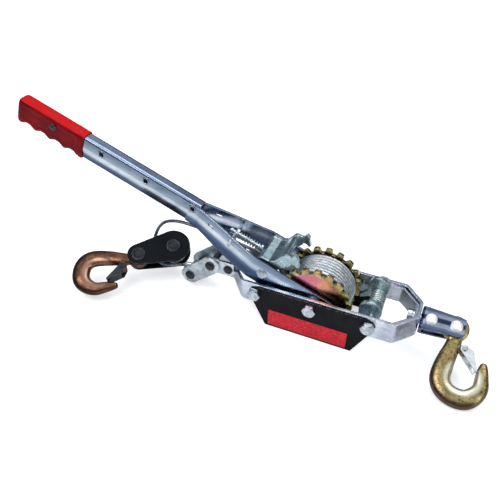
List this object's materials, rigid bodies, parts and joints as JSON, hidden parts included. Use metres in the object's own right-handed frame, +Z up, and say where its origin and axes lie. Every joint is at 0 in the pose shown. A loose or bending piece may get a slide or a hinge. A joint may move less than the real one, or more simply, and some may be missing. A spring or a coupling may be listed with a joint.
{
  "type": "hand ratchet cable puller",
  "caption": "Hand-cranked ratchet cable puller: strap frame with side plates, rope drum, forked lever with pawl, swivel hook in front and a sheave block with a hook on the rope.",
  "frame": {"origin": "on the floor plane under the axle's middle; the feet of the side plates stand on it", "axes": "+X towards the front swivel hook, +Y away from the side with the red panel, +Z up; the axle runs along Y"},
  "size_m": [0.6715, 0.1601, 0.2373],
  "materials": {
    "zinc": "bright zinc plate",
    "bolt_zinc": "bright zinc plate",
    "black_paint": "gloss black paint",
    "red_paint": "satin red",
    "red_plastic": "moulded",
    "gold_chromate": "yellow chromate on zinc",
    "bronze_chromate": "dark bronze chromate",
    "pawl_zinc": "blue-green zinc plate",
    "wire_rope": "galvanised strands",
    "spring_steel": "bright spring wire"
  },
  "bodies": {
    "frame": {"frame_strap": "zinc", "front_stiffener": "zinc", "near_side_plate": "black_paint", "far_side_plate": "black_paint", "label_panel": "red_paint", "axle_bolt": "bolt_zinc", "end_bolts": "bolt_zinc", "frame_nuts": "bolt_zinc", "rear_spacer": "zinc", "axle_washers": "zinc", "ear_rivet": "black_paint", "holding_pawl_spring": "spring_steel", "anchor_pin": "black_paint", "rope_pin": "black_paint", "near_end_plate": "pawl_zinc", "far_end_plate": "pawl_zinc", "rope_ferrule": "wire_rope", "rope_run": "wire_rope"},
    "drum": {"near_ratchet_wheel": "gold_chromate", "far_ratchet_wheel": "gold_chromate", "drum_barrel": "gold_chromate", "rope_inner_layers": "wire_rope", "rope_winding": "wire_rope"},
    "lever": {"lever": "zinc", "lever_grip": "red_plastic", "grip_rivet": "zinc", "drive_pawl_pin": "zinc", "spring_bridge": "zinc", "drive_pawl_spring": "spring_steel"},
    "spring_rod": {"spring_rod": "zinc"},
    "drive_pawl": {"drive_pawl": "pawl_zinc"},
    "holding_pawl": {"holding_pawl": "pawl_zinc"},
    "swivel": {"swivel_stud": "zinc", "swivel_washer": "zinc", "swivel_link": "zinc", "stud_rivet": "zinc", "front_hook_rivet": "zinc"},
    "front_hook": {"front_hook": "gold_chromate", "front_latch_rivet": "zinc"},
    "front_latch": {"front_latch": "zinc"},
    "block": {"near_block_plate": "black_paint", "far_block_plate": "black_paint", "sheave_pin": "black_paint", "block_hook_pin": "black_paint"},
    "sheave": {"sheave": "pawl_zinc", "sheave_bush": "bronze_chromate"},
    "rear_hook": {"rear_hook": "bronze_chromate", "rear_latch_rivet": "black_paint"},
    "rear_latch": {"rear_latch": "black_paint"}
  },
  "joints": [
    {"name": "drum_spin", "type": "hinge", "parent": "frame", "child": "drum", "pos_m": [0, 0, 0.0505], "axis": [0, 1, 0], "range_deg": [0, 1080]},
    {"name": "block_travel", "type": "slide", "parent": "frame", "child": "block", "axis": [-1, 0, 0], "range_m": [0, 0.3988], "deforming": ["rope_run"]},
    {"name": "sheave_spin", "type": "hinge", "parent": "block", "child": "sheave", "pos_m": [-0.221, 0.002, 0.0445], "axis": [0.2089, -0.3949, 0.8947], "range_deg": [-2600, 2600]},
    {"name": "lever_swing", "type": "hinge", "parent": "frame", "child": "lever", "pos_m": [0, 0, 0.0505], "axis": [0, 1, 0], "range_deg": [0, 60]},
    {"name": "drive_pawl_turn", "type": "hinge", "parent": "lever", "child": "drive_pawl", "pos_m": [-0.07025, 0, 0.07677], "axis": [0, 1, 0], "range_deg": [-15, 10]},
    {"name": "spring_rod_slide", "type": "slide", "parent": "lever", "child": "spring_rod", "axis": [-0.9367, 0, 0.3502], "range_m": [-0.0034, 0.005], "deforming": ["drive_pawl_spring"]},
    {"name": "holding_pawl_turn", "type": "hinge", "parent": "frame", "child": "holding_pawl", "pos_m": [0.075, 0, 0.0505], "axis": [0, 1, 0], "range_deg": [-20, 0]},
    {"name": "swivel_turn", "type": "hinge", "parent": "frame", "child": "swivel", "pos_m": [0.1345, 0, 0.049], "axis": [1, 0, 0], "continuous": true},
    {"name": "front_hook_turn", "type": "hinge", "parent": "swivel", "child": "front_hook", "pos_m": [0.1745, 0, 0.049], "axis": [0, -0.4772, 0.8788], "range_deg": [-15, 155]},
    {"name": "front_latch_turn", "type": "hinge", "parent": "front_hook", "child": "front_latch", "pos_m": [0.18944, -0.02058, 0.03783], "axis": [0, -0.4772, 0.8788], "range_deg": [-30, 0], "stiffness_Nm_per_rad": 0.08, "springref_deg": 20.05},
    {"name": "rear_hook_turn", "type": "hinge", "parent": "block", "child": "rear_hook", "pos_m": [-0.26006, -0.02963, 0.03966], "axis": [0.2089, -0.3949, 0.8947], "range_deg": [-60, 60]},
    {"name": "rear_latch_turn", "type": "hinge", "parent": "rear_hook", "child": "rear_latch", "pos_m": [-0.27271, -0.05321, 0.03221], "axis": [0.2089, -0.3949, 0.8947], "range_deg": [-30, 0], "stiffness_Nm_per_rad": 0.08, "springref_deg": 20.05}
  ],
  "couplings": [
    {"joint": "spring_rod_slide", "follows": "drive_pawl_turn", "m_per_rad": -0.0185},
    {"joint": "block_travel", "follows": "drum_spin", "m_per_rad": 0.02105},
    {"joint": "sheave_spin", "follows": "drum_spin", "ratio": 1.144}
  ]
}
